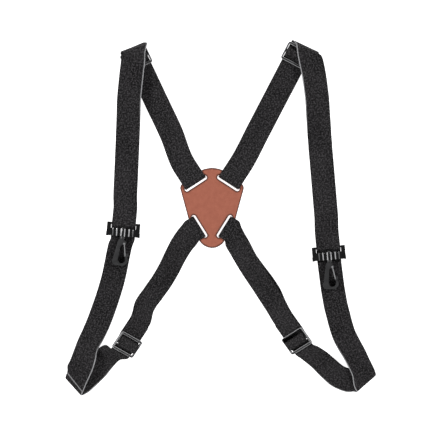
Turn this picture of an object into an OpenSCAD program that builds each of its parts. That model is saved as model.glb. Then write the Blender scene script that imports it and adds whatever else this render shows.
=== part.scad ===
// Two-loop shoulder harness laid flat: a leather back plate, two elastic webbing straps,
// four sliding adjusters and two sliding clips with swivelling hooks. Millimetres.
// The table top is z = 0, +Y runs from the hips to the shoulders, _l is the -X side.

/* [Webbing] */
// Width of the elastic webbing
webbing_width = 25; // [20:0.5:30]
// Thickness of the elastic webbing
webbing_thickness = 1.2; // [0.8:0.1:1.3]

/* [Back plate] */
// Thickness of the leather
plate_thickness = 2.2; // [1.6:0.1:2.3]
// Radius of the lobe at the top of the plate
plate_top_radius = 25; // [18:0.5:30]
// Radius of the lobe at the bottom of the plate
plate_bottom_radius = 15; // [12:0.5:18]
// Length of each slot
slot_length = 26.6; // [26:0.2:29]
// Width of each slot
slot_width = 4.5; // [3.8:0.1:5]

/* [Adjusters] */
// Width of an adjuster frame across the webbing
adjuster_width = 29.4; // [29:0.2:34]
// Length of an adjuster frame along the webbing
adjuster_length = 20.2; // [19:0.2:22]
// Thickness of an adjuster frame
adjuster_thickness = 2.4; // [2:0.1:2.4]
// Width of the outer bars
outer_bar = 2.6; // [2:0.1:3]
// Width of the centre bar
centre_bar = 3; // [2.4:0.1:3.2]

/* [Clips] */
// Width of a clip frame over its ears
clip_width = 34.4; // [32:0.2:38]
// Length of a clip frame along the webbing
clip_length = 14.2; // [13.6:0.2:17]
// Radius of the bar that carries the webbing
clip_bar_radius = 1.15; // [0.9:0.05:1.2]
// Height of the swivel axis above the table
swivel_height = 4.9; // [4.6:0.1:5.5]
// Radius of the swivel bore
swivel_bore = 1.8; // [1.5:0.05:2]
// Radial clearance of the stem in its bore
swivel_clearance = 0.05; // [0.02:0.01:0.1]
// Thickness of the hook
hook_thickness = 3; // [2.4:0.1:3.2]
// Inner radius of the hook's round seat
hook_seat = 4; // [3.8:0.1:4.2]
// Radius of the gate's root bead
gate_bead = 1.2; // [1:0.05:1.4]

/* [Hidden] */

black = [0.10, 0.10, 0.11];
plastic = [0.06, 0.06, 0.065];
leather = [0.62, 0.36, 0.28];

// The middle of the laid-out harness is moved onto the origin
shift = [-8.5, 11.5, 0];
w = webbing_width;
t = webbing_thickness;
// Mid heights of the layers: on the table, second layer, third layer
ply_gap = 0.15;
h1 = 0.05 + t / 2;
h2 = h1 + t + ply_gap;
h3 = h2 + t + ply_gap;
plate_z = 1.5;
over_plate = plate_z + plate_thickness + 0.1 + t / 2;
turn_r = (over_plate - h1) / 2;
turn_z = (over_plate + h1) / 2;
frame_z = h3 + t / 2 + 0.1;
loop_top = frame_z + adjuster_thickness + 0.1 + t / 2;
hump_top = loop_top + t + 0.25;
bar_mid = (adjuster_length - outer_bar) / 2;

// A station of a strap gives its two edges: [left xyz, right xyz]. Heading is the way
// the strap runs in plan, roll lifts the right edge, h is the height above the strap's own
// resting plane, which always touches the table along its lower edge.
function lay(x, y, h, heading, roll = 0) =
    let (r = [sin(heading) * cos(roll), -cos(heading) * cos(roll), sin(roll)] * w / 2)
    let (n = [-sin(roll) * sin(heading), sin(roll) * cos(heading), cos(roll)])
    let (c = [x, y, w / 2 * abs(sin(roll))] + n * h)
    [c[0] - r[0], c[1] - r[1], c[2] - r[2], c[0] + r[0], c[1] + r[1], c[2] + r[2]];

// A station beside a fitting placed at f = [x, y, heading, roll], s along its heading
function at(f, s, h) =
    lay(f[0] + s * cos(f[2]), f[1] + s * sin(f[2]), h, f[2], f[3]);

function left(p) = [p[0], p[1], p[2]];
function right(p) = [p[3], p[4], p[5]];
function mid(p) = (left(p) + right(p)) / 2;
function unit(v) = v / max(norm(v), 0.000001);

// Smooth run through the stations: a cubic between each two, with the slope at a station
// weighted by the distances to its neighbours
function gap(p, i) = norm(p[i + 1] - p[i]);
function slope(p, i) =
    i == 0 ? (p[1] - p[0]) / gap(p, 0)
    : i == len(p) - 1 ? (p[i] - p[i - 1]) / gap(p, i - 1)
    : ((p[i] - p[i - 1]) / gap(p, i - 1) * gap(p, i) + (p[i + 1] - p[i]) / gap(p, i) * gap(p, i - 1))
        / (gap(p, i - 1) + gap(p, i));
function cubic(a, b, u, v, d, k) =
    a * (2 * k * k * k - 3 * k * k + 1) + u * d * (k * k * k - 2 * k * k + k)
    + b * (3 * k * k - 2 * k * k * k) + v * d * (k * k * k - k * k);
function smooth(p, steps) = [
    for (i = [0 : len(p) - 2])
        for (k = [0 : steps - 1])
            cubic(p[i], p[i + 1], slope(p, i), slope(p, i + 1), gap(p, i), k / steps),
    p[len(p) - 1]
];

// A strap of the webbing's thickness through the stations
module strap(stations, steps = 3) {
    p = smooth(stations, steps);
    last = len(p) - 1;
    corners = [
        for (i = [0 : last])
            let (along = mid(p[min(i + 1, last)]) - mid(p[max(i - 1, 0)]))
            let (n = unit(cross(right(p[i]) - left(p[i]), along)) * t / 2)
            each [left(p[i]) - n, right(p[i]) - n, right(p[i]) + n, left(p[i]) + n]
    ];
    sides = [
        for (i = [0 : last - 1])
            for (k = [0 : 3])
                let (a = 4 * i + k)
                let (b = 4 * i + (k + 1) % 4)
                each [[a, b, b + 4], [a, b + 4, a + 4]]
    ];
    e = 4 * last;
    ends = [[0, 3, 2], [0, 2, 1], [e, e + 1, e + 2], [e, e + 2, e + 3]];
    polyhedron(corners, concat(sides, ends));
}

// Fittings: [x, y, heading, roll]. Adjusters head away from the plate, clips head up the strap
upper_l = [-78.7, 154.8, 115.2, 0];
upper_r = [88.6, 157.9, 62.5, 0];
lower_l = [-90.2, -139.6, 236.5, 36];
lower_r = [90.1, -136, 305.5, -34];
clip_l = [-92.2, -22.4, 85, 0];
clip_r = [121.4, -46.9, 95, 0];
// Inner edge of the leather margin at each slot, heading outwards
slot_ul = [-18, 27.3, 123, 0];
slot_ur = [18.2, 27.6, 57, 0];
slot_ll = [-14.9, -20.2, 212, 0];
slot_lr = [14.9, -20.2, 328, 0];

// The turn of a doubled strap through a slot: under the margin, up, and out over it
function slot_turn(f) = [
    at(f, 5, h1), at(f, 0.6, h1), at(f, 0, h1 + 0.02),
    at(f, -turn_r * 0.5, turn_z - turn_r * 0.866), at(f, -turn_r * 0.866, turn_z - turn_r * 0.5),
    at(f, -turn_r, turn_z),
    at(f, -turn_r * 0.866, turn_z + turn_r * 0.5), at(f, -turn_r * 0.5, turn_z + turn_r * 0.866),
    at(f, 0, over_plate), at(f, 4, over_plate), at(f, 7.8, over_plate)
];
// The last stretch of the running layer before an adjuster, over its sewn tail
function run_in(f) = [
    at(f, -28.6, h2), at(f, -27, h2 + 0.05), at(f, -23, h3), at(f, -21.6, h3), at(f, -17, h3), at(f, -12.1, h3)
];

upper_double_l_route = concat(
    [at(upper_l, -24.2, h1), at(upper_l, -50, h1), at(upper_l, -85, h1),
     at(slot_ul, 20, h1), at(slot_ul, 12, h1)],
    slot_turn(slot_ul),
    [at(slot_ul, 13, h2 + 0.4), at(slot_ul, 18, h2 + 0.02), at(slot_ul, 20, h2),
     at(upper_l, -85, h2), at(upper_l, -50, h2)],
    run_in(upper_l));
upper_double_r_route = concat(
    [at(upper_r, -24.2, h1), at(upper_r, -50, h1), at(upper_r, -85, h1),
     at(slot_ur, 20, h1), at(slot_ur, 12, h1)],
    slot_turn(slot_ur),
    [at(slot_ur, 13, h2 + 0.4), at(slot_ur, 18, h2 + 0.02), at(slot_ur, 20, h2),
     at(upper_r, -85, h2), at(upper_r, -50, h2)],
    run_in(upper_r));
lower_double_l_route = concat(
    [at(lower_l, -24.2, h1), lay(-70.2, -100.7, h1, 239, 34), lay(-61.1, -87.9, h1, 239, 31),
     lay(-52, -75, h1, 239, 30), lay(-44.5, -62, h1, 241, 29), lay(-38.5, -50, h1, 240, 26),
     lay(-31, -37, h1, 233, 18), lay(-24, -28, h1, 222, 8)],
    slot_turn(slot_ll),
    [lay(-23.5, -27, h2 + 0.6, 220, 8), lay(-31, -36.5, h2, 231, 18), lay(-39, -50, h2, 240, 26),
     lay(-45.5, -63, h2, 241, 29), lay(-52.5, -75, h2, 239, 30), lay(-61.6, -87.9, h2, 239, 31),
     lay(-70.2, -100.7, h2, 239, 34)],
    run_in(lower_l));
lower_double_r_route = concat(
    [at(lower_r, -24.2, h1), lay(67, -101.3, h1, 301, -30), lay(61.4, -89.4, h1, 301, -27),
     lay(53.6, -77.3, h1, 304, -27), lay(45, -66, h1, 308, -27), lay(37, -55, h1, 306, -26),
     lay(29, -41, h1, 309, -18), lay(22.5, -30, h1, 319, -8)],
    slot_turn(slot_lr),
    [lay(22.5, -28.5, h2 + 0.6, 319, -8), lay(29, -40.5, h2, 309, -18), lay(36.5, -54, h2, 306, -26),
     lay(44, -66, h2, 306, -27), lay(51.5, -77, h2, 303, -27), lay(59.5, -89.4, h2, 301, -27),
     lay(67, -101.3, h2, 301, -30)],
    run_in(lower_r));

// Out from under the adjuster's outer bar to the shoulder fold
shoulder_tuck_l_route = [
    at(upper_l, 9.05, h3), at(upper_l, 10.4, h3), at(upper_l, 12, 4.4), [-93.7, 162.4, 6.9, -66.8, 171.3, 6.9]
];
shoulder_tuck_r_route = [
    at(upper_r, 9.05, h3), at(upper_r, 10.4, h3), at(upper_r, 12, 4.4), [87, 170.8, 6.9, 110.4, 161.4, 6.9]
];
// Round the fold, back over the adjuster and down to the table
shoulder_l_route = [
    [-93.7, 162.4, 7.15, -66.8, 171.3, 7.15], [-93.6, 160.9, 9.5, -67.2, 169.2, 9.5],
    [-93.9, 158, 10.3, -68.6, 163, 10.3], lay(-81.8, 152, 10.3, 86), lay(-83.2, 140, 10.3, 86),
    lay(-84.8, 125, 10.3, 87), lay(-86, 111, 10, 88), lay(-86.5, 98, 7.2, 88),
    lay(-87.2, 85, 3.2, 88), lay(-87.8, 74, 1.1, 88), lay(-88.1, 66, h1, 88), lay(-88.2, 64.1, h1, 88)
];
shoulder_r_route = [
    [87, 170.8, 7.15, 110.4, 161.4, 7.15], [87.4, 169, 9.5, 110.8, 159.8, 9.5],
    lay(100.6, 160, 10.3, 82), lay(102.6, 152, 10.3, 97), lay(105.2, 140, 10.3, 98),
    lay(107.4, 125, 10.3, 97), lay(109, 111, 10, 95), lay(110, 98, 7.2, 94),
    lay(111.2, 85, 3.2, 94), lay(112, 74, 1.1, 94), lay(112.7, 66, h1, 94), lay(112.8, 64.1, h1, 94)
];
chest_upper_l_route = [
    lay(-88.2, 64, h1, 88), lay(-88.8, 50, h1, 88), lay(-89.6, 31, h1, 87), lay(-90.4, 10, h1, 86),
    at(clip_l, 22, h1), at(clip_l, 20, h1), at(clip_l, 15, 1.2), at(clip_l, 9.9, 2.5)
];
chest_upper_r_route = [
    lay(112.8, 64, h1, 94), lay(114, 50, h1, 94), lay(115.6, 31, h1, 95), lay(117.7, 6, h1, 95),
    lay(119, -10, h1, 95), at(clip_r, 22, h1), at(clip_r, 20, h1), at(clip_r, 15, 1.2), at(clip_r, 9.9, 2.5)
];
chest_lower_l_route = [
    at(clip_l, -9.9, h1), lay(-95.3, -38, h1, 81), lay(-97.2, -46, h1, 80), lay(-99.8, -59, h1, 78),
    lay(-102.6, -72, h1, 75), lay(-106.2, -85, h1, 73), lay(-110.4, -98, h1, 71)
];
chest_lower_r_route = [
    at(clip_r, -9.9, h1), lay(122.9, -62, h1, 97), lay(124.2, -72, h1, 97), lay(125.8, -84, h1, 99),
    lay(127.5, -94, h1, 101), lay(129, -102, h1, 102)
];
// From the lower adjuster out towards the hip fold
hip_run_l_route = [
    at(lower_l, 9.05, h3), at(lower_l, 11.5, h3 - 0.1), lay(-103, -149.3, 1.4, 222, 30),
    lay(-110, -154.8, h1, 221, 12), lay(-119.4, -166.2, h1, 223, 9), lay(-130.6, -177, h1, 226, 6)
];
hip_run_r_route = [
    at(lower_r, 9.05, h3), at(lower_r, 11.5, h3 - 0.1), lay(101.6, -149.4, 1.6, 310, -31),
    lay(111, -156.9, h1, 315, -26), lay(121.2, -166.6, h1, 321, -18), lay(131.2, -175, h1, 333, -11)
];
// Round the hip fold and back up the chest under the clip
hip_fold_l_route = [
    lay(-130.8, -177.2, h1, 226, 6),
    [-129.5, -192.5, 0.7, -146, -173.5, 1.6], [-135.8, -195.2, 1.6, -152.4, -176.6, 2.4],
    [-134, -191, 3.4, -150.4, -170, 4.6], [-129.2, -180, 5.8, -150.2, -164, 5],
    [-123.6, -168, 9.4, -147.4, -158, 4.2], [-120.4, -157.6, 10.6, -144, -149, 3.4],
    lay(-129.4, -143.8, h1, 245, -19), lay(-123.4, -131.3, h1, 246, -13), lay(-118, -119, h1, 248, -6),
    lay(-113.4, -106.5, h1, 250, 0), lay(-110.5, -98.2, h1, 251, 0)
];
hip_fold_r_route = [
    lay(131.5, -175.1, h1, 333, -11), lay(141.4, -179.2, h1, 347, -7),
    [157, -172.5, 1.6, 147.6, -191.3, 0.7], [170.4, -173.8, 2.3, 150.2, -190.9, 1.9],
    [169.4, -169.4, 4.2, 147.8, -186, 3.6], [166.8, -163.4, 4, 145.4, -174, 6.2],
    [163.4, -156.4, 3, 140.6, -163.6, 7.6], [159.3, -147.4, 2, 136.2, -155.4, 7.4],
    lay(142.8, -142.8, h1, 300, 10), lay(137.4, -132, h1, 293, 6), lay(134, -121.5, h1, 286, 3),
    lay(131.2, -110.5, h1, 283, 0), lay(129.05, -102.2, h1, 282, 0)
];

// In an adjuster's own frame: over the centre bar and under both outer bars
weave_route = [
    for (p = [[-12, h3], [-9.4, h3], [-7.7, h3], [-6.4, h3 + 0.3], [-5.3, h3 + 1.4], [-4.2, h3 + 3],
              [-2.7, hump_top - 0.6], [-1, hump_top], [1, hump_top], [2.7, hump_top - 0.5], [3.9, h3 + 3.2], [5, h3 + 1.2],
              [6.4, h3 + 0.2], [7.7, h3], [9, h3]])
        lay(0, p[0], p[1], 90)
];
// The sewn end: under the outer bar, round the centre bar and back as a stitched tail
end_route = [
    for (p = [[-24, h1], [-12, h1], [-8.4, h1], [-5, h1 + 0.5], [-2.4, h2 + 0.5], [-0.4, h3 - 0.3],
              [1.5, frame_z - 0.78], [2.05, frame_z - 0.53], [2.28, frame_z], [2.28, loop_top - 0.7],
              [2.05, loop_top - 0.17], [1.5, loop_top + 0.07], [0.1, loop_top + 0.08], [-1.4, loop_top + 0.06],
              [-2.02, loop_top - 0.26], [-2.4, loop_top - 1.05], [-3.1, h3 + 1.35], [-4.6, h2 + 0.7],
              [-6.6, h2 + 0.05], [-8.4, h2], [-12, h2], [-20, h2]])
        lay(0, p[0], p[1], 90)
];
// In a clip's own frame: over the carrying bar and flat under the swivel housing
clip_route = [
    for (p = [[9.8, 2.5], [7.8, 3.15], [5.8, 3.3], [4.2, 3], [2.4, 1.9], [0.9, 1], [-0.6, h1 + 0.02],
              [-1.6, h1], [-5, h1], [-9.8, h1]])
        lay(0, p[0], p[1], 90)
];

// Puts a fitting's own frame on its strap
module place(f) {
    translate([f[0], f[1], w / 2 * abs(sin(f[3]))])
        rotate([0, 0, f[2] - 90])
            rotate([0, -f[3], 0])
                children();
}

// Convex outline round a list of circles [x, y, r] given anticlockwise. The straight edges
// run a hair inside the true tangents, so that they cross the circles cleanly
function tangents(a, b) =
    let (d = [b[0] - a[0], b[1] - a[1]])
    let (turn = atan2(d[1], d[0]) - acos((a[2] - b[2]) / norm(d)))
    let (ra = a[2] - 0.03, rb = b[2] - 0.03)
    [[a[0] + ra * cos(turn), a[1] + ra * sin(turn)], [b[0] + rb * cos(turn), b[1] + rb * sin(turn)]];
module rounded_outline(circles, height) {
    linear_extrude(height)
        polygon([
            for (i = [0 : len(circles) - 1])
                each tangents(circles[i], circles[(i + 1) % len(circles)])
        ]);
    for (c = circles)
        translate([c[0], c[1], 0])
            cylinder(r = c[2], h = height, $fn = 72);
}

plate_circles = [
    [0, 41.8 - plate_top_radius, plate_top_radius], [-27.6, 20.8, 5.5], [-20.9, -13.2, 3],
    [0, plate_bottom_radius - 41.6, plate_bottom_radius], [20.9, -13.2, 3], [27.6, 20.8, 5.5]
];

module slot_cut(f) {
    place([f[0], f[1], f[2], 0])
        translate([0, 0.1 - slot_width / 2, plate_z - 1]) {
            translate([-(slot_length - slot_width) / 2, -slot_width / 2, 0])
                cube([slot_length - slot_width, slot_width, plate_thickness + 2]);
            for (side = [-1, 1])
                translate([side * (slot_length - slot_width) / 2, 0, 0])
                    cylinder(d = slot_width, h = plate_thickness + 2, $fn = 36);
        }
}

module back_plate() {
    color(leather)
        translate(shift)
            difference() {
                translate([0, 0, plate_z])
                    rounded_outline(plate_circles, plate_thickness);
                for (f = [slot_ul, slot_ur, slot_ll, slot_lr])
                    slot_cut(f);
            }
}

module laid(route, steps = 3) {
    color(black)
        translate(shift)
            strap(route, steps);
}
module upper_double_l() { laid(upper_double_l_route, 2); }
module upper_double_r() { laid(upper_double_r_route, 2); }
module lower_double_l() { laid(lower_double_l_route, 2); }
module lower_double_r() { laid(lower_double_r_route, 2); }
module shoulder_tuck_l() { laid(shoulder_tuck_l_route); }
module shoulder_tuck_r() { laid(shoulder_tuck_r_route); }
module shoulder_l() { laid(shoulder_l_route); }
module shoulder_r() { laid(shoulder_r_route); }
module chest_upper_l() { laid(chest_upper_l_route); }
module chest_upper_r() { laid(chest_upper_r_route); }
module chest_lower_l() { laid(chest_lower_l_route); }
module chest_lower_r() { laid(chest_lower_r_route); }
module hip_run_l() { laid(hip_run_l_route); }
module hip_run_r() { laid(hip_run_r_route); }
module hip_fold_l() { laid(hip_fold_l_route); }
module hip_fold_r() { laid(hip_fold_r_route); }

// One three-bar adjuster: two windows in a flat frame with rounded corners
module adjuster_frame() {
    corner = 2.4;
    window = bar_mid - outer_bar / 2 - centre_bar / 2;
    inside = w + 0.8;
    difference() {
        translate([0, 0, frame_z]) {
            translate([-adjuster_width / 2, corner - adjuster_length / 2, 0])
                cube([adjuster_width, adjuster_length - 2 * corner, adjuster_thickness]);
            translate([corner - adjuster_width / 2, -adjuster_length / 2, 0])
                cube([adjuster_width - 2 * corner, adjuster_length, adjuster_thickness]);
            for (i = [-1, 1])
                for (k = [-1, 1])
                    translate([i * (adjuster_width / 2 - corner), k * (adjuster_length / 2 - corner), 0])
                        cylinder(r = corner, h = adjuster_thickness, $fn = 36);
        }
        for (k = [-1, 1])
            translate([-inside / 2, k * (window + centre_bar) / 2 - window / 2, frame_z - 1])
                cube([inside, window, adjuster_thickness + 2]);
    }
}
module adjuster_at(f) {
    color(plastic)
        translate(shift)
            place(f)
                adjuster_frame();
}
module weave_at(f, route, steps = 2) {
    color(black)
        translate(shift)
            place(f)
                strap(route, steps);
}
module upper_adjuster_l() { adjuster_at(upper_l); }
module upper_adjuster_r() { adjuster_at(upper_r); }
module lower_adjuster_l() { adjuster_at(lower_l); }
module lower_adjuster_r() { adjuster_at(lower_r); }
module upper_weave_l() { weave_at(upper_l, weave_route); }
module upper_weave_r() { weave_at(upper_r, weave_route); }
module lower_weave_l() { weave_at(lower_l, weave_route); }
module lower_weave_r() { weave_at(lower_r, weave_route); }
module upper_end_l() { weave_at(upper_l, end_route); }
module upper_end_r() { weave_at(upper_r, end_route); }
module lower_end_l() { weave_at(lower_l, end_route); }
module lower_end_r() { weave_at(lower_r, end_route); }
module clip_weave_l() { weave_at(clip_l, clip_route); }
module clip_weave_r() { weave_at(clip_r, clip_route); }

// Round bar lying along Y, or along X, from a to b
module bar_y(x, a, b, z, r) {
    translate([x, a, z])
        rotate([-90, 0, 0])
            cylinder(r = r, h = b - a, $fn = 48);
}
module bar_x(y, a, b, z, r) {
    translate([a, y, z])
        rotate([0, 90, 0])
            cylinder(r = r, h = b - a, $fn = 48);
}

// Clip frame: two ears, a carrying bar under the webbing and a ribbed housing over it
module clip_frame() {
    ear = (clip_width - w) / 2 - 0.6;
    half = clip_length / 2;
    difference() {
        union() {
            for (side = [-1, 1]) {
                translate([side * (clip_width - ear) / 2 - ear / 2, -half, 0.25])
                    cube([ear, clip_length, 5]);
                bar_y(side * (clip_width / 2 - 0.6), -half - 0.4, -half + 4, 3, 1.1);
            }
            bar_x(half - 1.3, -clip_width / 2 + 1, clip_width / 2 - 1, 0.25 + clip_bar_radius, clip_bar_radius);
            translate([-w / 2 - 1, 0.2 - half, 1.9])
                cube([w + 2, 7.8, 3.3]);
            bar_y(0, -half, 0.9, swivel_height, 3);
            for (side = [-1, 1]) {
                bar_y(side * 6.4, 0.2 - half, 0.9, 5, 1.3);
                bar_y(side * 10.4, 0.2 - half, 0.9, 4.7, 1.1);
            }
        }
        bar_y(0, -half - 1, 1.5, swivel_height, swivel_bore);
    }
}

// The gate leans this far from the hook's long axis when it is shut
gate_reach = 12.9;
gate_lean = 9.3;
gate_swing = 26;

// Hook: a retaining head and stem in the bore, a collar, and an open pear-shaped ring
seat_at = [0.9, -31.2];
bead_at = [2.3, -14.6];
module hook() {
    half = clip_length / 2;
    low = swivel_height - hook_thickness / 2;
    stem = swivel_bore - swivel_clearance;
    bar_y(0, 1, 2, swivel_height, 2.15);
    bar_y(0, -half - 3, 1.1, swivel_height, stem);
    bar_y(0, -half - 2.4, -half - 0.3, swivel_height, 2.6);
    difference() {
        translate([0, 0, low]) {
            rounded_outline([[-0.8, -13, 3.6], [-5, -33.5, 3.7], [1.2, -31.9, 5.8]], hook_thickness);
            translate([bead_at[0] - 0.2, bead_at[1] + 0.6, 0])
                cylinder(r = 2.2, h = hook_thickness, $fn = 48);
        }
        translate([0, 0, low - 1])
            rounded_outline([[0.4, -17.5, 1.7], [seat_at[0], seat_at[1], hook_seat]], hook_thickness + 2);
        translate([bead_at[0], bead_at[1], low - 1])
            cylinder(r = gate_bead + 0.06, h = hook_thickness + 2, $fn = 48);
        translate([1.5, -25.6, low - 1])
            cube([9, 9, hook_thickness + 2]);
        for (turn = [0, gate_swing])
            translate([bead_at[0], bead_at[1], low - 1])
                rotate([0, 0, gate_lean - turn])
                    translate([-0.8, -gate_reach - 0.9, 0])
                        cube([1.45, gate_reach + 0.1, hook_thickness + 2]);
    }
    translate([6.2, -26.2, low])
        cylinder(r = 1.25, h = hook_thickness, $fn = 36);
}

// Gate: a round root bead with a thin springy leaf that closes on the inside of the nose
module gate() {
    low = swivel_height - hook_thickness / 2 + 0.3;
    high = hook_thickness - 0.6;
    translate([bead_at[0], bead_at[1], low]) {
        cylinder(r = gate_bead, h = high, $fn = 48);
        rotate([0, 0, gate_lean])
            translate([-0.5, -gate_reach, 0])
                cube([1, gate_reach, high]);
        rotate([0, 0, gate_lean])
            translate([0, -gate_reach, 0])
                cylinder(r = 0.5, h = high, $fn = 24);
    }
}
module clip_part(f) {
    color(plastic)
        translate(shift)
            place(f)
                children();
}
module clip_frame_l() { clip_part(clip_l) clip_frame(); }
module clip_frame_r() { clip_part(clip_r) clip_frame(); }
module hook_l() { clip_part(clip_l) hook(); }
module hook_r() { clip_part(clip_r) hook(); }
module gate_l() { clip_part(clip_l) gate(); }
module gate_r() { clip_part(clip_r) gate(); }

back_plate();
upper_double_l();
upper_double_r();
lower_double_l();
lower_double_r();
shoulder_tuck_l();
shoulder_tuck_r();
shoulder_l();
shoulder_r();
chest_upper_l();
chest_upper_r();
chest_lower_l();
chest_lower_r();
hip_run_l();
hip_run_r();
hip_fold_l();
hip_fold_r();
upper_adjuster_l();
upper_weave_l();
upper_end_l();
upper_adjuster_r();
upper_weave_r();
upper_end_r();
lower_adjuster_l();
lower_weave_l();
lower_end_l();
lower_adjuster_r();
lower_weave_r();
lower_end_r();
clip_frame_l();
clip_weave_l();
hook_l();
gate_l();
clip_frame_r();
clip_weave_r();
hook_r();
gate_r();
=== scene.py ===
import math

import bmesh
import bpy
import numpy as np
from mathutils.kdtree import KDTree
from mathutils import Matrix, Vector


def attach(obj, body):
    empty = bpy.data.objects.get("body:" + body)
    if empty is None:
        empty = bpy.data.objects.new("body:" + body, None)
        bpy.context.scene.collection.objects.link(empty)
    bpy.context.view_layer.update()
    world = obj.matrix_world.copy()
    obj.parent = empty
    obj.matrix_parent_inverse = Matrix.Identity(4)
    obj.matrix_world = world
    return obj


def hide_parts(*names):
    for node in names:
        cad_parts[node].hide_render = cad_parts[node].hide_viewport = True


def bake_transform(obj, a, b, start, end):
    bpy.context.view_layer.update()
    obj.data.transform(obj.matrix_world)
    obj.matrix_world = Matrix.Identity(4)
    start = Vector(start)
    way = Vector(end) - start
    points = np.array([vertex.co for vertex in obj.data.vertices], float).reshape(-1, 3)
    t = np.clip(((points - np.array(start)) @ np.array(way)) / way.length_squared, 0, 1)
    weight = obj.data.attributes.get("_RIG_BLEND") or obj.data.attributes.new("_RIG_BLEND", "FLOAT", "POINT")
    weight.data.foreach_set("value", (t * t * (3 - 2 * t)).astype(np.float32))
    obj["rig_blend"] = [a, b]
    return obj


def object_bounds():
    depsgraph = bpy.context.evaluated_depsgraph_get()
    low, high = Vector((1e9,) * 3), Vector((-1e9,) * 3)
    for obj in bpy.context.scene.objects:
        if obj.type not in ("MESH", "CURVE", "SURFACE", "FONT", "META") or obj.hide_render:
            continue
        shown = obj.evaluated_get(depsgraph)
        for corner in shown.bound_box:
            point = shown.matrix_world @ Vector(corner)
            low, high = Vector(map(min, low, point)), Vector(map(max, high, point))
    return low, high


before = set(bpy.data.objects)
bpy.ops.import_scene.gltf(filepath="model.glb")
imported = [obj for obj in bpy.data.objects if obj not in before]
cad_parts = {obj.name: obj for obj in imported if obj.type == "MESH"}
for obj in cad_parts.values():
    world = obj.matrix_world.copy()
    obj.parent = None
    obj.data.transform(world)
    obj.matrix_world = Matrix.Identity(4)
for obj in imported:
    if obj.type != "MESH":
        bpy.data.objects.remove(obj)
cad_low, cad_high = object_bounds()


# ---------------------------------------------------------------- table, light and camera
# The harness lies flat on a white light table and is seen from straight above. Three soft
# boxes stand round the table, low enough for the rounded black edges to catch their light.

middle_x = (cad_low[0] + cad_high[0]) / 2
middle_y = (cad_low[1] + cad_high[1]) / 2


def linear(code):
    """An sRGB hex colour as linear red, green, blue and alpha: each channel c becomes
    c / 12.92 below 0.04045, and ((c + 0.055) / 1.055) to the power 2.4 above it."""
    parts = [int(code[i:i + 2], 16) / 255 for i in (1, 3, 5)]
    return [c / 12.92 if c <= 0.04045 else ((c + 0.055) / 1.055) ** 2.4 for c in parts] + [1.0]


def add(material, kind, sockets=None, **settings):
    """Adds one shader node to a material, sets its properties, and gives each named or
    numbered input socket a constant or a link from another node's output."""
    made = material.node_tree.nodes.new(kind)
    for name, value in settings.items():
        setattr(made, name, value)
    for name, value in (sockets or {}).items():
        if isinstance(value, bpy.types.NodeSocket):
            material.node_tree.links.new(value, made.inputs[name])
        else:
            made.inputs[name].default_value = value
    return made


def new_material(name):
    """An empty node material with an output, and the output node."""
    material = bpy.data.materials.new(name)
    material.use_nodes = True
    material.node_tree.nodes.clear()
    return material, add(material, "ShaderNodeOutputMaterial")


# Opal acrylic with lamps under it: a matt white that glows evenly, so shadows hardly show
table_white, table_out = new_material("opal_acrylic_light_table")
laminate = add(table_white, "ShaderNodeBsdfPrincipled", {
    "Base Color": linear("#EDEDED"), "Roughness": 0.9, "Specular IOR Level": 0.1,
    "Emission Color": linear("#FFFFFF"), "Emission Strength": 1.0})
table_white.node_tree.links.new(laminate.outputs[0], table_out.inputs["Surface"])
table_mesh = bpy.data.meshes.new("table")
table_mesh.from_pydata([(-9, -9, -0.0006), (9, -9, -0.0006), (9, 9, -0.0006), (-9, 9, -0.0006)],
                       [], [(0, 1, 2, 3)])
table_mesh.materials.append(table_white)
table = bpy.data.objects.new("table", table_mesh)
bpy.context.scene.collection.objects.link(table)

room = bpy.data.worlds.new("studio")
room.use_nodes = True
room.node_tree.nodes["Background"].inputs["Color"].default_value = (1, 1, 1, 1)
room.node_tree.nodes["Background"].inputs["Strength"].default_value = 0.14
bpy.context.scene.world = room
bpy.context.scene.view_settings.view_transform = "Standard"

for name, stand, size, watts in (
    ("left_box", (-1.15, 0.35, 0.85), 0.22, 15.0),
    ("right_box", (1.05, 0.6, 0.9), 0.22, 13.0),
    ("low_box", (0.15, -1.25, 1.0), 0.4, 8.0),
):
    lamp = bpy.data.lights.new(name, "AREA")
    lamp.size = size
    lamp.energy = watts
    box = bpy.data.objects.new(name, lamp)
    box.location = stand
    aim = np.array([middle_x, middle_y, 0.0]) - np.array(stand)
    tilt = math.atan2(math.hypot(aim[0], aim[1]), -aim[2])
    swing = math.atan2(aim[1], aim[0]) - math.pi / 2
    box.rotation_euler = (tilt, 0, swing)
    bpy.context.scene.collection.objects.link(box)

# The camera hangs 1.6 m up, looks straight down, and is a little off the harness's middle
lens = bpy.data.cameras.new("overhead")
lens.sensor_width = 36.0
lens.lens = 126.5
lens.clip_end = 10.0
camera = bpy.data.objects.new("overhead", lens)
camera.location = (middle_x - 0.0022, middle_y - 0.0005, 1.6)
bpy.context.scene.collection.objects.link(camera)
bpy.context.scene.camera = camera


# ---------------------------------------------------------------- the two webbing straps
# Each side is one length of 25 mm woven elastic: sewn round the upper adjuster's centre bar,
# through the plate, over the shoulder, down the chest, round the hip and back the same way.

strap_width = 0.025
strap_thickness = 0.0012
plate_underside = 0.0015
plate_thickness = 0.0022
adjuster_thickness = 0.0024
laid_out = np.array([-0.0085, 0.0115, 0.0])
ply_gap = 0.00015
# Heights of the strap's middle: lying on the table, on one layer, on two, and on the leather
h1 = 0.00005 + strap_thickness / 2
h2 = h1 + strap_thickness + ply_gap
h3 = h2 + strap_thickness + ply_gap
over_plate = plate_underside + plate_thickness + 0.0001 + strap_thickness / 2
# The half circle in which it turns up through a slot
turn_r = (over_plate - h1) / 2
turn_z = (over_plate + h1) / 2
# An adjuster's underside, then the strap once round its centre bar, and a second time
frame_z = h3 + strap_thickness / 2 + 0.0001
loop_top = frame_z + adjuster_thickness + 0.0001 + strap_thickness / 2
hump_top = loop_top + strap_thickness + 0.00025


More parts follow.
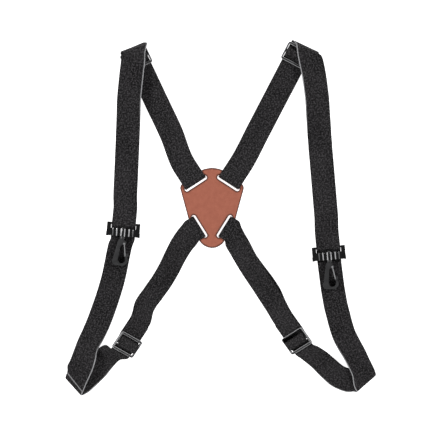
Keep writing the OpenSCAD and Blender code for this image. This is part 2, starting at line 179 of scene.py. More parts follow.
def lay(x, y, h, heading, roll=0.0):
    """One row across the strap, as its left and right edge points: the row's middle is at
    x, y, it faces along the heading, and the roll lifts its right edge off the table."""
    a, b = math.radians(heading), math.radians(roll)
    reach = np.array([math.sin(a) * math.cos(b), -math.cos(a) * math.cos(b), math.sin(b)]) * strap_width / 2
    up = np.array([-math.sin(b) * math.sin(a), math.sin(b) * math.cos(a), math.cos(b)])
    centre = np.array([x, y, strap_width / 2 * abs(math.sin(b))]) + up * h
    return np.concatenate([centre - reach, centre + reach])


def at(fitting, s, h):
    """A row beside a fitting, s along the fitting's heading and h above its strap's plane."""
    x, y, heading, roll = fitting
    a = math.radians(heading)
    return lay(x + s * math.cos(a), y + s * math.sin(a), h, heading, roll)


def slot_turn(f):
    """Rows for the turn through a slot: under the margin, up through it, out over the leather."""
    steps = [(0.005, h1), (0.0006, h1), (0, h1 + 0.00002),
             (-turn_r * 0.5, turn_z - turn_r * 0.866), (-turn_r * 0.866, turn_z - turn_r * 0.5),
             (-turn_r, turn_z),
             (-turn_r * 0.866, turn_z + turn_r * 0.5), (-turn_r * 0.5, turn_z + turn_r * 0.866),
             (0, over_plate), (0.004, over_plate), (0.0078, over_plate)]
    return [at(f, s, h) for s, h in steps]


def run_in(f):
    """Rows of the running layer as it climbs over its own sewn tail, up to an adjuster."""
    steps = [(-0.0286, h2), (-0.027, h2 + 0.00005), (-0.023, h3), (-0.0216, h3), (-0.017, h3)]
    return [at(f, s, h) for s, h in steps]


def weave(f):
    """Rows over an adjuster's centre bar, from under one outer bar to under the other."""
    steps = [(-0.012, h3), (-0.0094, h3), (-0.0077, h3), (-0.0064, h3 + 0.0003),
             (-0.0053, h3 + 0.0014), (-0.0042, h3 + 0.003),
             (-0.0027, hump_top - 0.0006), (-0.001, hump_top), (0.001, hump_top), (0.0027, hump_top - 0.0005),
             (0.0039, h3 + 0.0032), (0.005, h3 + 0.0012), (0.0064, h3 + 0.0002), (0.0077, h3), (0.009, h3)]
    return [at(f, s, h) for s, h in steps]


def sewn_end(f):
    """Rows of the sewn end: the tail, round the centre bar, and back down under the frame."""
    steps = [(-0.02, h2), (-0.012, h2), (-0.0084, h2), (-0.0066, h2 + 0.00005), (-0.0046, h2 + 0.0007),
             (-0.0031, h3 + 0.00135), (-0.0024, loop_top - 0.00105), (-0.00202, loop_top - 0.00026),
             (-0.0014, loop_top + 0.00006), (0.0001, loop_top + 0.00008), (0.0015, loop_top + 0.00007),
             (0.00205, loop_top - 0.00017), (0.00228, loop_top - 0.0007), (0.00228, frame_z),
             (0.00205, frame_z - 0.00053), (0.0015, frame_z - 0.00078), (-0.0004, h3 - 0.0003),
             (-0.0024, h2 + 0.0005), (-0.005, h1 + 0.0005), (-0.0084, h1), (-0.012, h1), (-0.024, h1)]
    return [at(f, s, h) for s, h in steps]


def clip_rows(f):
    """Rows over a clip's carrying bar and flat under its swivel housing."""
    steps = [(0.0098, 0.0025), (0.0078, 0.00315), (0.0058, 0.0033), (0.0042, 0.003), (0.0024, 0.0019),
             (0.0009, 0.001), (-0.0006, h1 + 0.00002), (-0.0016, h1), (-0.005, h1), (-0.0098, h1)]
    return [at(f, s, h) for s, h in steps]


def turned(rows):
    """The same rows walked the other way, with left and right exchanged."""
    return [np.concatenate([r[3:], r[:3]]) for r in reversed(rows)]


upper_l, upper_r = (-0.0787, 0.1548, 115.2, 0), (0.0886, 0.1579, 62.5, 0)
lower_l, lower_r = (-0.0902, -0.1396, 236.5, 36), (0.0901, -0.136, 305.5, -34)
clip_l, clip_r = (-0.0922, -0.0224, 85, 0), (0.1214, -0.0469, 95, 0)
slot_ul, slot_ur = (-0.018, 0.0273, 123, 0), (0.0182, 0.0276, 57, 0)
slot_ll, slot_lr = (-0.0149, -0.0202, 212, 0), (0.0149, -0.0202, 328, 0)


def upper_run(f, slot):
    """Rows of the doubled run between an upper adjuster and its slot, out and back."""
    return ([at(f, -0.0245, h1), at(f, -0.05, h1), at(f, -0.085, h1), at(slot, 0.02, h1), at(slot, 0.012, h1)]
            + slot_turn(slot)
            + [at(slot, 0.013, h2 + 0.0004), at(slot, 0.018, h2 + 0.00002), at(slot, 0.02, h2),
               at(f, -0.085, h2), at(f, -0.05, h2)] + run_in(f))


lower_run_l = (
    [at(lower_l, -0.0245, h1), lay(-0.0702, -0.1007, h1, 239, 34), lay(-0.0611, -0.0879, h1, 239, 31),
     lay(-0.052, -0.075, h1, 239, 30), lay(-0.0445, -0.062, h1, 241, 29), lay(-0.0385, -0.05, h1, 240, 26),
     lay(-0.031, -0.037, h1, 233, 18), lay(-0.024, -0.028, h1, 222, 8)] + slot_turn(slot_ll)
    + [lay(-0.0235, -0.027, h2 + 0.0006, 220, 8), lay(-0.031, -0.0365, h2, 231, 18),
       lay(-0.039, -0.05, h2, 240, 26), lay(-0.0455, -0.063, h2, 241, 29),
       lay(-0.0525, -0.075, h2, 239, 30), lay(-0.0616, -0.0879, h2, 239, 31),
       lay(-0.0702, -0.1007, h2, 239, 34)] + run_in(lower_l))
lower_run_r = (
    [at(lower_r, -0.0245, h1), lay(0.067, -0.1013, h1, 301, -30), lay(0.0614, -0.0894, h1, 301, -27),
     lay(0.0536, -0.0773, h1, 304, -27), lay(0.045, -0.066, h1, 308, -27), lay(0.037, -0.055, h1, 306, -26),
     lay(0.029, -0.041, h1, 309, -18), lay(0.0225, -0.03, h1, 319, -8)] + slot_turn(slot_lr)
    + [lay(0.0225, -0.0285, h2 + 0.0006, 319, -8), lay(0.029, -0.0405, h2, 309, -18),
       lay(0.0365, -0.054, h2, 306, -26), lay(0.044, -0.066, h2, 306, -27), lay(0.0515, -0.077, h2, 303, -27),
       lay(0.0595, -0.0894, h2, 301, -27), lay(0.067, -0.1013, h2, 301, -30)] + run_in(lower_r))

# Every stretch of each strap in order, with the piece it becomes
straps = {
    "l": [
        ("upper_end", sewn_end(upper_l)),
        ("upper_double", upper_run(upper_l, slot_ul)),
        ("upper_weave", weave(upper_l)),
        ("shoulder_tuck", [at(upper_l, 0.0104, h3), at(upper_l, 0.012, 0.0044)]),
        ("shoulder", [
            np.array([-0.0937, 0.1624, 0.007, -0.0668, 0.1713, 0.007]),
            np.array([-0.0936, 0.1609, 0.0095, -0.0672, 0.1692, 0.0095]),
            np.array([-0.0939, 0.158, 0.0103, -0.0686, 0.163, 0.0103]),
            lay(-0.0818, 0.152, 0.0103, 86), lay(-0.0832, 0.14, 0.0103, 86), lay(-0.0848, 0.125, 0.0103, 87),
            lay(-0.086, 0.111, 0.01, 88), lay(-0.0865, 0.098, 0.0072, 88), lay(-0.0872, 0.085, 0.0032, 88),
            lay(-0.0878, 0.074, 0.0011, 88), lay(-0.0881, 0.066, h1, 88)]),
        ("chest_upper", [
            lay(-0.0882, 0.064, h1, 88), lay(-0.0888, 0.05, h1, 88), lay(-0.0896, 0.031, h1, 87),
            lay(-0.0904, 0.01, h1, 86), at(clip_l, 0.022, h1), at(clip_l, 0.02, h1),
            at(clip_l, 0.015, 0.0012)]),
        ("clip_weave", clip_rows(clip_l)),
        ("chest_lower", [
            lay(-0.0953, -0.038, h1, 81), lay(-0.0972, -0.046, h1, 80), lay(-0.0998, -0.059, h1, 78),
            lay(-0.1026, -0.072, h1, 75), lay(-0.1062, -0.085, h1, 73)]),
        ("hip_fold", turned([
            np.array([-0.1295, -0.1925, 0.0007, -0.146, -0.1735, 0.0016]),
            np.array([-0.1358, -0.1952, 0.0016, -0.1524, -0.1766, 0.0024]),
            np.array([-0.134, -0.191, 0.0034, -0.1504, -0.17, 0.0046]),
            np.array([-0.1292, -0.18, 0.0058, -0.1502, -0.164, 0.005]),
            np.array([-0.1236, -0.168, 0.0094, -0.1474, -0.158, 0.0042]),
            np.array([-0.1204, -0.1576, 0.0106, -0.144, -0.149, 0.0034]),
            lay(-0.1294, -0.1438, h1, 245, -19), lay(-0.1234, -0.1313, h1, 246, -13),
            lay(-0.118, -0.119, h1, 248, -6), lay(-0.1134, -0.1065, h1, 250, 0),
            lay(-0.1104, -0.098, h1, 251, 0)])),
        ("hip_run", turned([
            at(lower_l, 0.0115, h3 - 0.0001), lay(-0.103, -0.1493, 0.0014, 222, 30),
            lay(-0.11, -0.1548, h1, 221, 12), lay(-0.1194, -0.1662, h1, 223, 9),
            lay(-0.1306, -0.177, h1, 226, 6)])),
        ("lower_weave", turned(weave(lower_l))),
        ("lower_double", turned(lower_run_l)),
        ("lower_end", turned(sewn_end(lower_l))),
    ],
    "r": [
        ("upper_end", sewn_end(upper_r)),
        ("upper_double", upper_run(upper_r, slot_ur)),
        ("upper_weave", weave(upper_r)),
        ("shoulder_tuck", [at(upper_r, 0.0104, h3), at(upper_r, 0.012, 0.0044)]),
        ("shoulder", [
            np.array([0.087, 0.1708, 0.007, 0.1104, 0.1614, 0.007]),
            np.array([0.0874, 0.169, 0.0095, 0.1108, 0.1598, 0.0095]),
            lay(0.1006, 0.16, 0.0103, 82), lay(0.1026, 0.152, 0.0103, 97), lay(0.1052, 0.14, 0.0103, 98),
            lay(0.1074, 0.125, 0.0103, 97), lay(0.109, 0.111, 0.01, 95), lay(0.11, 0.098, 0.0072, 94),
            lay(0.1112, 0.085, 0.0032, 94), lay(0.112, 0.074, 0.0011, 94), lay(0.1127, 0.066, h1, 94)]),
        ("chest_upper", [
            lay(0.1128, 0.064, h1, 94), lay(0.114, 0.05, h1, 94), lay(0.1156, 0.031, h1, 95),
            lay(0.1177, 0.006, h1, 95), lay(0.119, -0.01, h1, 95), at(clip_r, 0.022, h1),
            at(clip_r, 0.02, h1), at(clip_r, 0.015, 0.0012)]),
        ("clip_weave", clip_rows(clip_r)),
        ("chest_lower", [
            lay(0.1229, -0.062, h1, 97), lay(0.1242, -0.072, h1, 97), lay(0.1258, -0.084, h1, 99),
            lay(0.1275, -0.094, h1, 101)]),
        ("hip_fold", turned([
            lay(0.1414, -0.1792, h1, 347, -7),
            np.array([0.157, -0.1725, 0.0016, 0.1476, -0.1913, 0.0007]),
            np.array([0.1704, -0.1738, 0.0023, 0.1502, -0.1909, 0.0019]),
            np.array([0.1694, -0.1694, 0.0042, 0.1478, -0.186, 0.0036]),
            np.array([0.1668, -0.1634, 0.004, 0.1454, -0.174, 0.0062]),
            np.array([0.1634, -0.1564, 0.003, 0.1406, -0.1636, 0.0076]),
            np.array([0.1593, -0.1474, 0.002, 0.1362, -0.1554, 0.0074]),
            lay(0.1428, -0.1428, h1, 300, 10), lay(0.1374, -0.132, h1, 293, 6),
            lay(0.134, -0.1215, h1, 286, 3), lay(0.1312, -0.1105, h1, 283, 0),
            lay(0.129, -0.102, h1, 282, 0)])),
        ("hip_run", turned([
            at(lower_r, 0.0115, h3 - 0.0001), lay(0.1016, -0.1494, 0.0016, 310, -31),
            lay(0.111, -0.1569, h1, 315, -26), lay(0.1212, -0.1666, h1, 321, -18),
            lay(0.1312, -0.175, h1, 333, -11)])),
        ("lower_weave", turned(weave(lower_r))),
        ("lower_double", turned(lower_run_r)),
        ("lower_end", turned(sewn_end(lower_r))),
    ],
}


def smoothed(rows, spacing):
    """A cubic through all the rows, with each row's slope weighted by the distances to its
    neighbours, sampled about every spacing. Returns the samples and each one's row number."""
    p = np.array(rows)
    gaps = np.linalg.norm(np.diff(p, axis=0), axis=1)
    chords = np.diff(p, axis=0) / gaps[:, None]
    slopes = np.vstack([chords[:1], (chords[:-1] * gaps[1:, None] + chords[1:] * gaps[:-1, None])
                        / (gaps[:-1] + gaps[1:])[:, None], chords[-1:]])
    along = np.concatenate([[0], np.cumsum(gaps)])
    s = np.linspace(0, along[-1], int(along[-1] / (spacing * math.sqrt(2))) + 1)
    s = np.unique(np.concatenate([s, along]))
    i = np.clip(np.searchsorted(along, s, side="right") - 1, 0, len(gaps) - 1)
    k = ((s - along[i]) / gaps[i])[:, None]
    d = gaps[i][:, None]
    cubic = (p[i] * (2 * k**3 - 3 * k**2 + 1) + slopes[i] * d * (k**3 - 2 * k**2 + k)
             + p[i + 1] * (3 * k**2 - 2 * k**3) + slopes[i + 1] * d * (k**3 - k**2))
    return cubic, i + k[:, 0]


def strap_profile():
    """The strap's cut face, as (across -1..1, height -1..1, selvedge 0..1) walked round once:
    flat faces with a shallow groove inside each selvedge, and round beaded selvedges."""
    flat = np.array([-0.93, -0.91, -0.88, -0.8, -0.6, -0.35, 0.0, 0.35, 0.6, 0.8, 0.88, 0.91, 0.93])
    groove = np.array([1.0, 0.86, 0.84, 0.96, 1.0, 1.0, 1.0, 1.0, 1.0, 0.96, 0.84, 0.86, 1.0])
    rim = np.array([0.7, 0.0, 0, 0, 0, 0, 0, 0, 0, 0, 0, 0.0, 0.7])
    turn = np.radians([60, 30, 0, -30, -60])
    bead_x, bead_z = 0.955 + 0.045 * np.cos(turn), 1.02 * np.sin(turn)
    across = np.concatenate([flat, bead_x, flat[::-1], -bead_x])
    height = np.concatenate([groove, bead_z, -groove[::-1], -bead_z])
    edge = np.concatenate([rim, [1, 1, 1, 1, 1], rim, [1, 1, 1, 1, 1]])
    return across, height, edge


def webbing_mesh(name, rows, v, edge_highlight, inner, crease_highlight, material):
    """The strap's profile carried along the rows: each point is the row's middle, plus across
    times half the row, plus height times half the thickness along the row's normal. Of the
    two row by row shares, the first is a painted highlight along the selvedge on the inner side,
    the second a painted highlight in a line right across."""
    across, height, edge = strap_profile()
    left, right = rows[:, :3], rows[:, 3:]
    centre, half = (left + right) / 2, (right - left) / 2
    tangent = np.gradient(centre, axis=0)
    normal = np.cross(half, tangent)
    normal /= np.linalg.norm(normal, axis=1)[:, None]
    n, m = len(rows), len(across)
    points = (centre[:, None] + half[:, None] * across[None, :, None]
              + normal[:, None] * (height * strap_thickness / 2)[None, :, None]).reshape(-1, 3)
    a = np.arange(n - 1)[:, None] * m + np.arange(m)[None]
    b = np.arange(n - 1)[:, None] * m + (np.arange(m)[None] + 1) % m
    walls = np.stack([a, b, b + m, a + m], -1).reshape(-1, 4)
    faces = [tuple(f) for f in walls.tolist()]
    faces += [tuple(range(m))[::-1], tuple(range((n - 1) * m, n * m))]
    mesh = bpy.data.meshes.new(name)
    mesh.from_pydata(points, [], faces)
    # u runs round the profile in metres and v along the strap. The last strip, on a bead,
    # closes a little past the profile's real girth of 51.4 mm
    step = np.arange(m + 1)
    closing_u = 0.0535
    u = np.concatenate([[0], np.cumsum(np.hypot(np.diff(across) * strap_width / 2,
                                                np.diff(height) * strap_thickness / 2)), [closing_u]])
    corner = np.stack([np.broadcast_to(step[:-1], (n - 1, m)), np.broadcast_to(step[1:], (n - 1, m)),
                       np.broadcast_to(step[1:], (n - 1, m)), np.broadcast_to(step[:-1], (n - 1, m))], -1)
    vv = np.stack([np.broadcast_to(v[:-1, None], (n - 1, m)), np.broadcast_to(v[:-1, None], (n - 1, m)),
                   np.broadcast_to(v[1:, None], (n - 1, m)), np.broadcast_to(v[1:, None], (n - 1, m))], -1)
    uv = np.stack([u[corner], vv], -1).reshape(-1, 2)
    uv = np.vstack([uv, np.zeros((2 * m, 2))])
    layer = mesh.uv_layers.new(name="along_strap")
    layer.data.foreach_set("uv", uv.astype(np.float32).ravel())
    # The selvedge attribute holds painted highlights: pale along the inner selvedge at the folds, and a line
    # right across
    selvedge = mesh.attributes.new("selvedge", "FLOAT", "POINT")
    share = np.where(across * inner > 0, edge_highlight[:, None], 0.1) * edge
    selvedge.data.foreach_set("value", np.maximum(share, crease_highlight[:, None]).ravel().astype(np.float32))
    mesh.polygons.foreach_set("use_smooth", np.array([True] * len(walls) + [False, False]))
    mesh.materials.append(material)
    mesh.update()
    piece = bpy.data.objects.new(name, mesh)
    bpy.context.scene.collection.objects.link(piece)
    return piece


# Woven elastic: polyester yarn over rubber cores. The yarn gives a matt, pebbled charcoal
# face with paler flecks, in 1.1 mm ribs; a pale grey painted highlight runs along the selvedge at the folds.
elastic, elastic_out = new_material("woven_black_elastic")
uv = add(elastic, "ShaderNodeUVMap", uv_map="along_strap")
rib = 0.0011
warp = 0.00125
split = add(elastic, "ShaderNodeSeparateXYZ", {0: uv.outputs[0]})
column = add(elastic, "ShaderNodeMath", {0: split.outputs["X"], 1: 1 / warp}, operation="MULTIPLY")
column_number = add(elastic, "ShaderNodeMath", {0: column.outputs[0]}, operation="FLOOR")
stagger = add(elastic, "ShaderNodeMath", {0: column_number.outputs[0], 1: math.pi}, operation="MULTIPLY")
pick_angle = add(elastic, "ShaderNodeMath", {
    0: split.outputs["Y"], 1: 2 * math.pi / rib, 2: stagger.outputs[0]}, operation="MULTIPLY_ADD")
pick = add(elastic, "ShaderNodeMath", {0: pick_angle.outputs[0]}, operation="SINE")
column_angle = add(elastic, "ShaderNodeMath", {0: column.outputs[0], 1: math.pi}, operation="MULTIPLY")
column_sine = add(elastic, "ShaderNodeMath", {0: column_angle.outputs[0]}, operation="SINE")
column_arch = add(elastic, "ShaderNodeMath", {0: column_sine.outputs[0]}, operation="ABSOLUTE")
pebble = add(elastic, "ShaderNodeMath", {0: pick.outputs[0], 1: 0.5, 2: column_arch.outputs[0]},
             operation="MULTIPLY_ADD")
fleck = add(elastic, "ShaderNodeTexNoise", {"Vector": uv.outputs[0], "Scale": 1 / 0.0016, "Detail": 3.0,
                                           "Roughness": 0.7}, noise_dimensions="2D")
fleck_range = add(elastic, "ShaderNodeMapRange", {
    "Value": fleck.outputs[0], "From Min": 0.46, "From Max": 0.66})
fuzz = add(elastic, "ShaderNodeTexNoise", {"Vector": uv.outputs[0], "Scale": 1 / 0.00045, "Detail": 1.0},
           noise_dimensions="2D")
broad = add(elastic, "ShaderNodeTexNoise", {"Vector": uv.outputs[0], "Scale": 1 / 0.03, "Detail": 2.0},
            noise_dimensions="2D")
broad_range = add(elastic, "ShaderNodeMapRange", {"Value": broad.outputs[0], "From Min": 0.3, "From Max": 0.7,
                                                 "To Min": -0.08, "To Max": 0.08})
pebble_share = add(elastic, "ShaderNodeMath", {0: pebble.outputs[0], 1: 0.14, 2: fleck_range.outputs[0]},
                   operation="MULTIPLY_ADD")
shade = add(elastic, "ShaderNodeMath", {
    0: pebble_share.outputs[0], 1: broad_range.outputs[0]}, operation="ADD")
yarn = add(elastic, "ShaderNodeMix", {"Factor": shade.outputs[0], 6: linear("#020202"), 7: linear("#434143")},
           data_type="RGBA", clamp_factor=True)
# Painted highlight: where the selvedge attribute is high, the cloth turns pale grey
edge_share = add(elastic, "ShaderNodeAttribute", attribute_name="selvedge")
edge_fade = add(elastic, "ShaderNodeMapRange", {
    "Value": edge_share.outputs["Fac"], "From Min": 0.1, "From Max": 0.9, "To Max": 0.95})
cloth_colour = add(elastic, "ShaderNodeMix", {"Factor": edge_fade.outputs[0], 6: yarn.outputs[2],
                                              7: linear("#A3A3A5")}, data_type="RGBA")
relief = add(elastic, "ShaderNodeMath", {
    0: fuzz.outputs[0], 1: 0.5, 2: pebble.outputs[0]}, operation="MULTIPLY_ADD")
relief_bump = add(elastic, "ShaderNodeBump", {
    "Height": relief.outputs[0], "Strength": 0.75, "Distance": 0.00018})
cloth = add(elastic, "ShaderNodeBsdfPrincipled", {
    "Base Color": cloth_colour.outputs[2], "Roughness": 0.82, "Specular IOR Level": 0.12,
    "Sheen Weight": 0.015, "Sheen Roughness": 0.5, "Normal": relief_bump.outputs[0]})
elastic.node_tree.links.new(cloth.outputs[0], elastic_out.inputs["Surface"])

webbing_body = {"upper_end": "upper_adjuster", "upper_weave": "upper_adjuster", "lower_end": "lower_adjuster",
                "lower_weave": "lower_adjuster", "clip_weave": "clip"}
# Where the painted highlight line across the left hip fold sits, counted in rows along it
crease_row = 8.1
strap_rows = {}
for side, stretches in straps.items():
    rows, counts = [], []
    for name, part in stretches:
        rows += part
        counts.append(len(part))
    samples, numbers = smoothed(rows, 0.0006)
    # The whole strap is a little uneven where it lies: slow swells a quarter of a millimetre high
    middle = (samples[:, :3] + samples[:, 3:]) / 2
    v = np.concatenate([[0], np.cumsum(np.linalg.norm(np.diff(middle, axis=0), axis=1))])
    swell = 0.00012 * (1 + np.sin(v / 0.011 + 1.3 * np.sin(v / 0.047)))
    samples[:, [2, 5]] += swell[:, None]
    samples[:, :3] += laid_out
    samples[:, 3:] += laid_out
    ends = np.cumsum(counts)
    start = 0
    for (name, part), end in zip(stretches, ends):
        last = min(end, len(rows) - 1)
        keep = (numbers >= start) & (numbers <= last)
        # A painted highlight line, as on a sharp fold, runs right across the left strap, about 5 mm in from
        # its hip fold
        crease_highlight = np.zeros(int(keep.sum()))
        if name == "hip_fold" and side == "l":
            crease_highlight = np.clip(1.3 - np.abs(numbers[keep] - start - crease_row) / 0.1, 0, 0.75)
        strap_rows[name + "_" + side] = samples[keep], v[keep], crease_highlight
        start = last
# How strong the painted highlight on the inner selvedge is at each length's start and end. The change
# takes change_share of the length, and begins after that share times the second table's value
edge_highlight_ends = {"shoulder_tuck": (0.3, 0.95), "shoulder": (0.95, 0.1), "hip_fold": (0.1, 1.0),
           "hip_run": (1.0, 0.15)}
change_begins = {"shoulder": 1.8, "hip_fold": 0.8}
usual_begin = 1.2
change_share = 0.3
strap_pieces = {}
for key, (rows, v, crease_highlight) in strap_rows.items():
    name, side = key.rsplit("_", 1)
    first, second = edge_highlight_ends.get(name, (0.1, 0.1))
    begins = change_begins.get(name, usual_begin)
    change = np.clip(np.linspace(0, 1, len(rows)) / change_share - begins, 0, 1)
    edge_highlight = first + (second - first) * change
    piece = webbing_mesh("elastic_" + key, rows, v, edge_highlight, {"l": 1, "r": -1}[side], crease_highlight, elastic)
    strap_pieces[key] = piece
    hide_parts(key)
    if name in webbing_body:
        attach(piece, webbing_body[name] + "_" + side)
    elif name in ("shoulder", "hip_fold"):
        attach(piece, "harness")


def place(f, x, y, z):
    """A point x across, y along and z above a fitting's strap, in the object's frame."""
    row = at(f, y, z)
    centre, half = (row[:3] + row[3:]) / 2, (row[3:] - row[:3]) / 2
    return (centre + half * x / (strap_width / 2) + laid_out).tolist()


for side, up, low, clip in (("l", upper_l, lower_l, clip_l), ("r", upper_r, lower_r, clip_r)):
    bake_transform(strap_pieces["upper_double_" + side], "harness", "upper_adjuster_" + side,
             start=place(up, 0, -0.125, 0), end=place(up, 0, -0.022, 0))
    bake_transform(strap_pieces["shoulder_tuck_" + side], "upper_adjuster_" + side, "harness",
             start=place(up, 0, 0.0106, 0), end=place(up, 0, 0.0134, 0))
    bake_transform(strap_pieces["lower_double_" + side], "harness", "lower_adjuster_" + side,
             start=place(low, 0, -0.112, 0), end=place(low, 0, -0.022, 0))
    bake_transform(strap_pieces["hip_run_" + side], "lower_adjuster_" + side, "harness",
             start=place(low, 0, 0.0105, 0), end=place(low, 0, 0.05, 0))
    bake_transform(strap_pieces["chest_upper_" + side], "harness", "clip_" + side,
             start=place(clip, 0, 0.09, 0), end=place(clip, 0, 0.011, 0))
    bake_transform(strap_pieces["chest_lower_" + side], "clip_" + side, "harness",
             start=place(clip, 0, -0.017, 0), end=place(clip, 0, -0.055, 0))


# ---------------------------------------------------------------- the leather back plate
# One die-cut piece of vegetable-tanned cowhide, 2.2 mm thick, with four slots. Its edges
# are rounded, dyed dark and burnished. It is held only by the webbing through the slots.


def softened(node, name, width, segments, material, clamp=False):
    """A copy of a CAD node with its loose triangles merged, its flat faces made whole and
    every sharp edge rounded over by width, in several segments. The attribute "rounded" is 1
    inside the roundings and 0 on the faces between them."""
    work = bmesh.new()
    work.from_mesh(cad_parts[node].data)
    bmesh.ops.remove_doubles(work, verts=work.verts, dist=0.000004)
    bmesh.ops.dissolve_limit(work, angle_limit=math.radians(0.4), verts=work.verts, edges=work.edges)
    mesh = bpy.data.meshes.new(name)
    work.to_mesh(mesh)
    work.free()
    mesh.materials.clear()
    mesh.materials.append(material)
    mesh.materials.append(material)
    piece = bpy.data.objects.new(name, mesh)
    bpy.context.scene.collection.objects.link(piece)
    bevel = piece.modifiers.new("rounded_edges", "BEVEL")
    bevel.width = width
    bevel.segments = segments
    bevel.limit_method = "ANGLE"
    bevel.angle_limit = math.radians(32)
    bevel.use_clamp_overlap = clamp
    bevel.material = 1
    applied = bpy.data.meshes.new_from_object(piece.evaluated_get(bpy.context.evaluated_depsgraph_get()))
    piece.modifiers.clear()
    piece.data = applied
    applied.name = name
    inside = np.ones(len(applied.vertices), np.float32)
    for face in applied.polygons:
        if face.material_index == 0:
            inside[list(face.vertices)] = 0
    applied.polygons.foreach_set("material_index", np.zeros(len(applied.polygons), np.int32))
    applied.materials.pop(index=1)
    # The moulded materials paint a pale highlight where this attribute is high
    rounded = applied.attributes.new("rounded", "FLOAT", "POINT")
    rounded.data.foreach_set("value", inside)
    for extra in list(applied.attributes):
        if extra.name == "sharp_face" or extra.name == "sharp_edge":
            applied.attributes.remove(extra)
    applied.shade_smooth()
    applied.set_sharp_from_angle(angle=math.radians(40))
    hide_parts(node)
    return piece


# Vegetable-tanned cowhide: smooth-grained terracotta, slightly waxy, darker at burnished edges
hide, hide_out = new_material("vegetable_tanned_cowhide")
spot = add(hide, "ShaderNodeTexCoord")
mottle = add(hide, "ShaderNodeTexNoise", {"Vector": spot.outputs["Object"], "Scale": 1 / 0.005, "Detail": 4.0,
                                         "Roughness": 0.65})
tan = add(hide, "ShaderNodeMix", {"Factor": mottle.outputs[0], 6: linear("#945341"), 7: linear("#B06A55")},
          data_type="RGBA")
pores = add(hide, "ShaderNodeTexVoronoi", {"Vector": spot.outputs["Object"], "Scale": 1 / 0.0008},
            feature="DISTANCE_TO_EDGE")
pore_depth = add(hide, "ShaderNodeMapRange", {"Value": pores.outputs["Distance"], "From Max": 0.22})
burnish = add(hide, "ShaderNodeAttribute", attribute_name="burnish")
edge_dye = add(hide, "ShaderNodeMix", {
    "Factor": burnish.outputs["Fac"], 6: tan.outputs[2], 7: linear("#3A1D14")},
    data_type="RGBA", clamp_factor=True)
grain = add(hide, "ShaderNodeMath", {
    0: mottle.outputs[0], 1: 0.6, 2: pore_depth.outputs[0]}, operation="MULTIPLY_ADD")
grain_bump = add(hide, "ShaderNodeBump", {"Height": grain.outputs[0], "Strength": 0.35, "Distance": 0.00007})
leather = add(hide, "ShaderNodeBsdfPrincipled", {
    "Base Color": edge_dye.outputs[2], "Roughness": 0.55, "Specular IOR Level": 0.3,
    "Normal": grain_bump.outputs[0]})
hide.node_tree.links.new(leather.outputs[0], hide_out.inputs["Surface"])

plate = softened("back_plate", "leather_back_plate", 0.0007, 4, hide)
# The flat faces are cut finer, so that the dye fades out just inside every edge
work = bmesh.new()
work.from_mesh(plate.data)
bmesh.ops.triangulate(work, faces=work.faces)
for _ in range(6):
    long = [e for e in work.edges if e.calc_length() > 0.0022]
    if long:
        bmesh.ops.subdivide_edges(work, edges=long, cuts=1)
        bmesh.ops.triangulate(work, faces=work.faces)
work.to_mesh(plate.data)
work.free()
co = np.empty(len(plate.data.vertices) * 3, np.float32)
plate.data.vertices.foreach_get("co", co)
co = co.reshape(-1, 3)
low, high = co[:, 2].min(), co[:, 2].max()
# Points on neither flat face are on the roundings; the dye reaches 1.4 mm in from them
dye_reach = 0.0014
rounding = (co[:, 2] > low + 0.00004) & (co[:, 2] < high - 0.00004)
tree = KDTree(int(rounding.sum()))
for i, p in enumerate(co[rounding]):
    tree.insert(p, i)
tree.balance()
near = np.array([tree.find(p)[2] for p in co])
dye = np.clip(1 - near / dye_reach, 0, 1)
burnish_values = plate.data.attributes.new("burnish", "FLOAT", "POINT")
burnish_values.data.foreach_set("value", dye.astype(np.float32))
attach(plate, "harness")


# ---------------------------------------------------------------- the four adjusters
# Three-bar slides of injection-moulded black nylon: two outer bars, two rails and a centre
# bar in one flat frame, with rounded edges that catch the light and a painted highlight on them.


def moulded(name, dark, light, highlight_colour, share, rough_low, rough_high, finish):
    """A moulded plastic material: its colour drifts between dark and light over about 6 mm,
    and goes by share towards a pale painted highlight on the rounded edges; finish is the depth of the
    pitting."""
    material, out = new_material(name)
    spot = add(material, "ShaderNodeTexCoord")
    pitting = add(material, "ShaderNodeTexNoise", {"Vector": spot.outputs["Object"], "Scale": 1 / 0.0004,
                                                  "Detail": 3.0})
    bloom = add(material, "ShaderNodeTexNoise", {
        "Vector": spot.outputs["Object"], "Scale": 1 / 0.006, "Detail": 3.0})
    bloom_rough = add(material, "ShaderNodeMapRange", {
        "Value": bloom.outputs[0], "From Min": 0.3, "From Max": 0.7,
        "To Min": rough_low, "To Max": rough_high})
    body = add(material, "ShaderNodeMix", {"Factor": bloom.outputs[0], 6: linear(dark), 7: linear(light)},
               data_type="RGBA")
    edge = add(material, "ShaderNodeAttribute", attribute_name="rounded")
    edge_share = add(material, "ShaderNodeMath", {0: edge.outputs["Fac"], 1: share}, operation="MULTIPLY")
    # Painted highlight: the colour goes pale where the edge attribute marks it
    colour = add(material, "ShaderNodeMix", {
        "Factor": edge_share.outputs[0], 6: body.outputs[2], 7: linear(highlight_colour)}, data_type="RGBA")
    bump = add(material, "ShaderNodeBump", {
        "Height": pitting.outputs[0], "Strength": 0.25, "Distance": finish})
    plastic = add(material, "ShaderNodeBsdfPrincipled", {
        "Base Color": colour.outputs[2], "Roughness": bloom_rough.outputs[0], "IOR": 1.5,
        "Normal": bump.outputs[0]})
    material.node_tree.links.new(plastic.outputs[0], out.inputs["Surface"])
    return material


# Moulded nylon: a greyer black than acetal, satin from a sparked mould, with a pale painted highlight on its
# edges
nylon = moulded("moulded_black_nylon", "#262627", "#3A3A3B", "#B4B4B6", 0.72, 0.26, 0.4, 0.00004)

for side in "lr":
    for level in ("upper", "lower"):
        node = level + "_adjuster_" + side
        slide = softened(node, "nylon_" + node, 0.0006, 4, nylon)
        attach(slide, node)
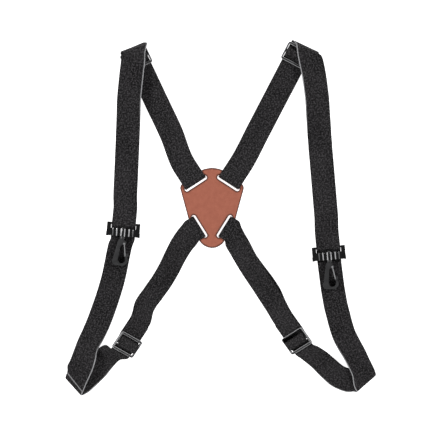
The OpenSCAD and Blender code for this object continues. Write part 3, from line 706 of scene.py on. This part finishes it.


# ---------------------------------------------------------------- the clips and their hooks
# Each clip is a moulded acetal frame with two ears, a carrying bar and a ribbed swivel
# housing. The hook's stem turns in the housing, and a thin leaf gate closes its ring.

# Moulded acetal: a deep glossy black from a polished mould, with pale painted highlights on its housing's
# ribs and faint ones on its other edges
acetal = moulded("moulded_black_acetal", "#0B0B0C", "#141415", "#E0E0E2", 0.85, 0.2, 0.28, 0.00002)


def paint_rib_highlights(piece, f):
    """Marks painted highlight lines on a clip's housing in the attribute "rounded": the crests of the
    two ribs 6.4 mm out, fainter those 10.4 mm out, and the barrel's two flanks 1.9 mm out."""
    mesh = piece.data
    spots = np.empty(len(mesh.vertices) * 3, np.float32)
    mesh.vertices.foreach_get("co", spots)
    spots = spots.reshape(-1, 3) - laid_out - np.array([f[0], f[1], 0])
    a = math.radians(f[2])
    across = np.abs(spots[:, 0] * math.sin(a) - spots[:, 1] * math.cos(a))
    along = spots[:, 0] * math.cos(a) + spots[:, 1] * math.sin(a)
    crest = np.zeros(len(across))
    for out, half, strength in ((1.9, 0.5, 0.9), (6.4, 0.5, 0.75), (10.4, 0.5, 0.2)):
        crest = np.maximum(crest, strength * np.clip(1.4 - np.abs(across * 1000 - out) / half, 0, 1))
    crest *= (spots[:, 2] > 0.0053) & (along < 0.0012)
    old = np.empty(len(mesh.vertices), np.float32)
    mesh.attributes["rounded"].data.foreach_get("value", old)
    mesh.attributes["rounded"].data.foreach_set("value", np.maximum(old * 0.12, crest).astype(np.float32))


for side in "lr":
    clip_frame = softened("clip_frame_" + side, "acetal_clip_frame_" + side, 0.0004, 3, acetal, clamp=True)
    paint_rib_highlights(clip_frame, {"l": clip_l, "r": clip_r}[side])
    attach(clip_frame, "clip_" + side)
    hook = softened("hook_" + side, "nylon_hook_" + side, 0.0005, 4, nylon, clamp=True)
    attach(hook, "hook_" + side)
    gate = softened("gate_" + side, "nylon_gate_" + side, 0.0002, 3, nylon)
    # A painted highlight makes the thin leaf pale over its whole face
    leaf = np.full(len(gate.data.vertices), 0.8, np.float32)
    gate.data.attributes["rounded"].data.foreach_set("value", leaf)
    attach(gate, "gate_" + side)
